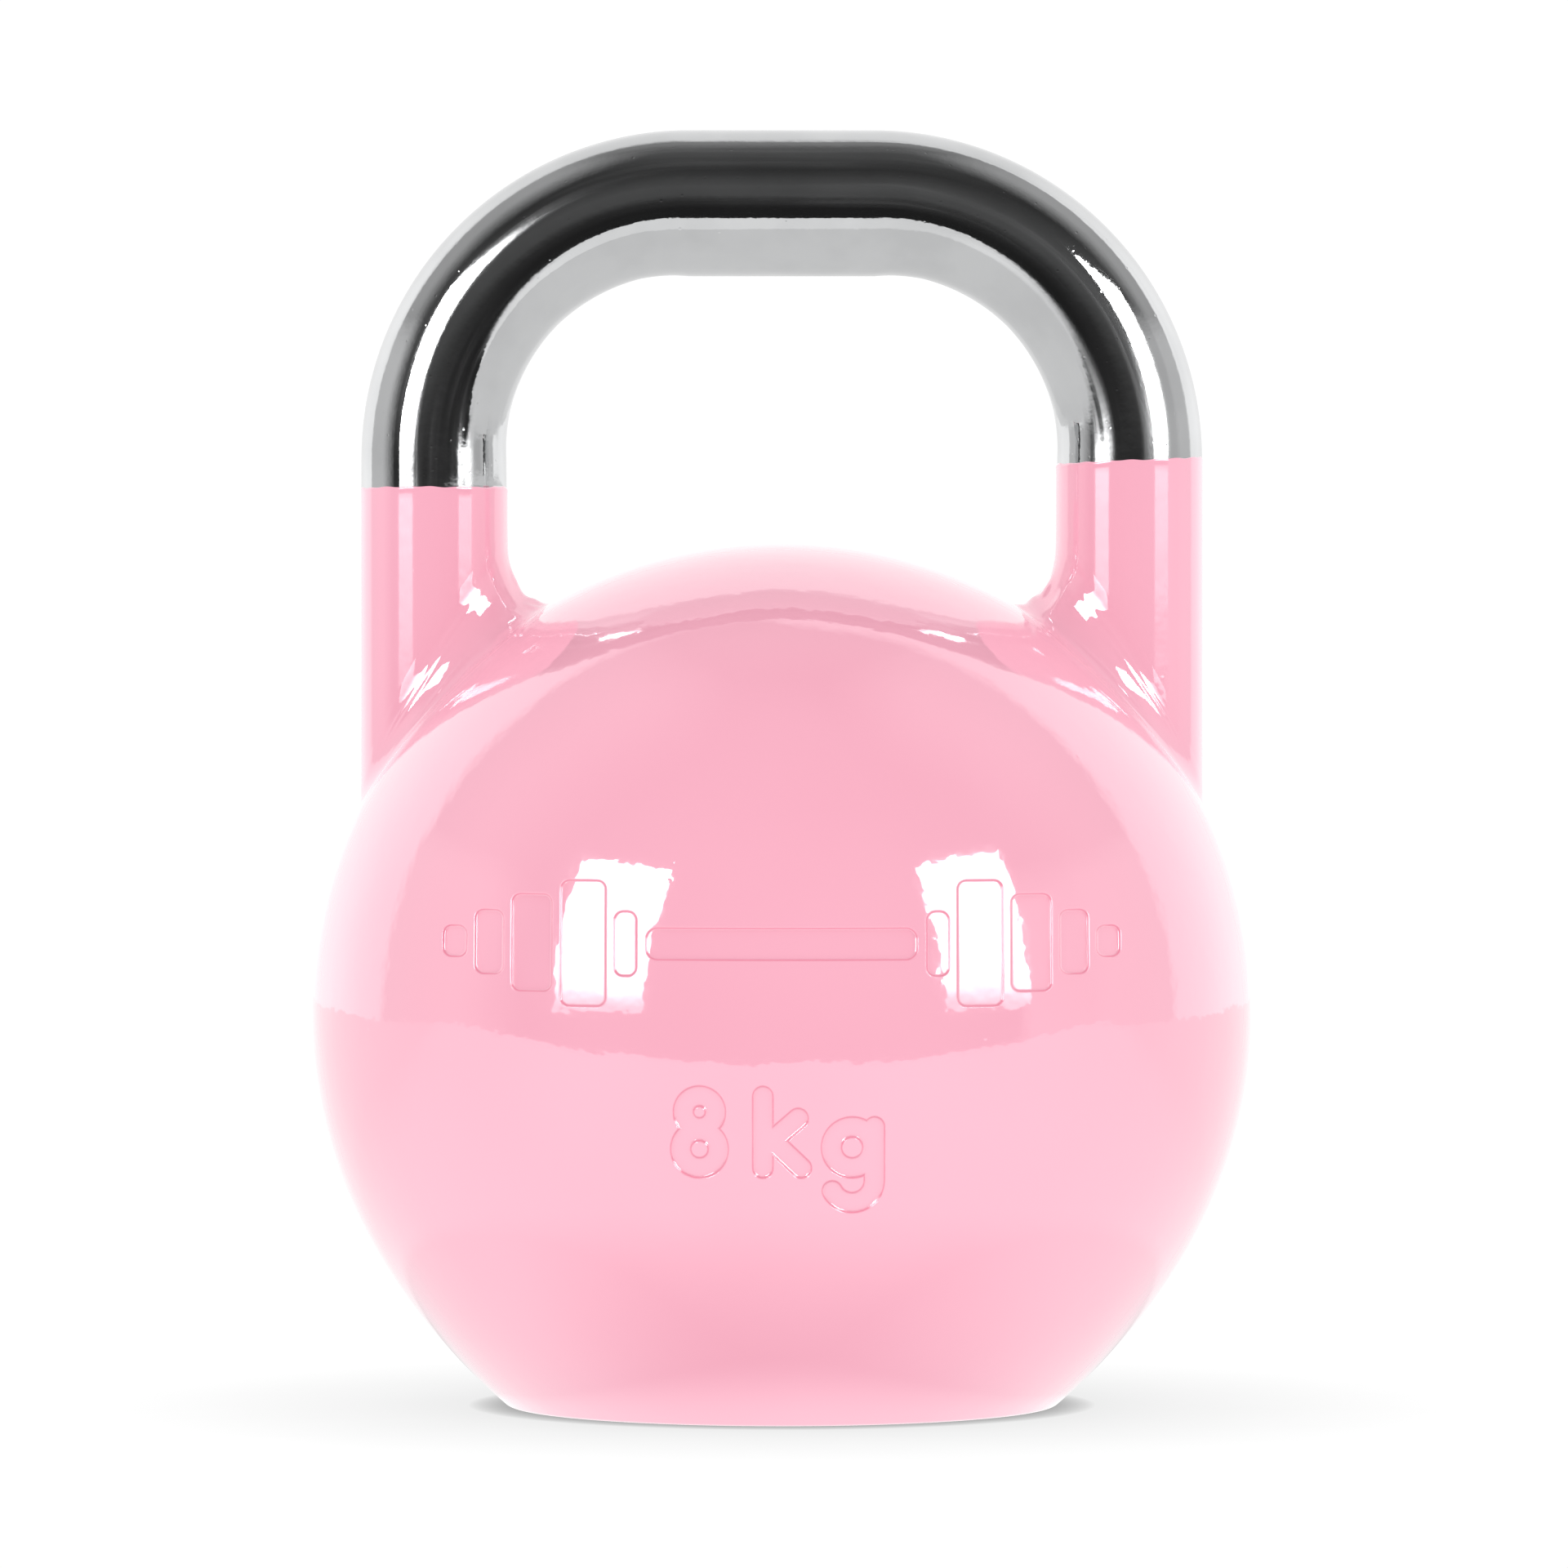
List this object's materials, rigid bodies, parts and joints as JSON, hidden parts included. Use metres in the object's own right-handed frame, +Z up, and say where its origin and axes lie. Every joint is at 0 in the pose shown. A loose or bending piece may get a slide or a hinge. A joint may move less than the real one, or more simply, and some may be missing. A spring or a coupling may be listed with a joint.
{
  "type": "kettlebell",
  "caption": "Steel kettlebell with a hollow painted ball, a flat base and a chromed bent tube handle for lifting with one hand.",
  "frame": {"origin": "centre of the flat base, on the floor", "axes": "+Z up through the ball to the grip, +X along the grip towards the right leg, -Y towards the viewer of the front"},
  "size_m": [0.21, 0.21, 0.2855],
  "materials": {
    "pink_paint": "high gloss enamel",
    "handle_chrome": "bright chrome plating",
    "bare_steel": "mill finish",
    "shot_ballast": "rough, resin bound",
    "plug_steel": "zinc plated",
    "seal_rubber": "matte"
  },
  "bodies": {
    "root": {"handle_tube": "handle_chrome", "upper_shell": "pink_paint", "lower_shell": "pink_paint", "seam_weld": "pink_paint", "backing_ring": "bare_steel", "left_leg_weld": "pink_paint", "right_leg_weld": "pink_paint", "base_plate": "pink_paint", "base_weld": "pink_paint", "ballast": "shot_ballast", "fill_plug": "plug_steel", "plug_seal": "seal_rubber"}
  },
  "joints": []
}
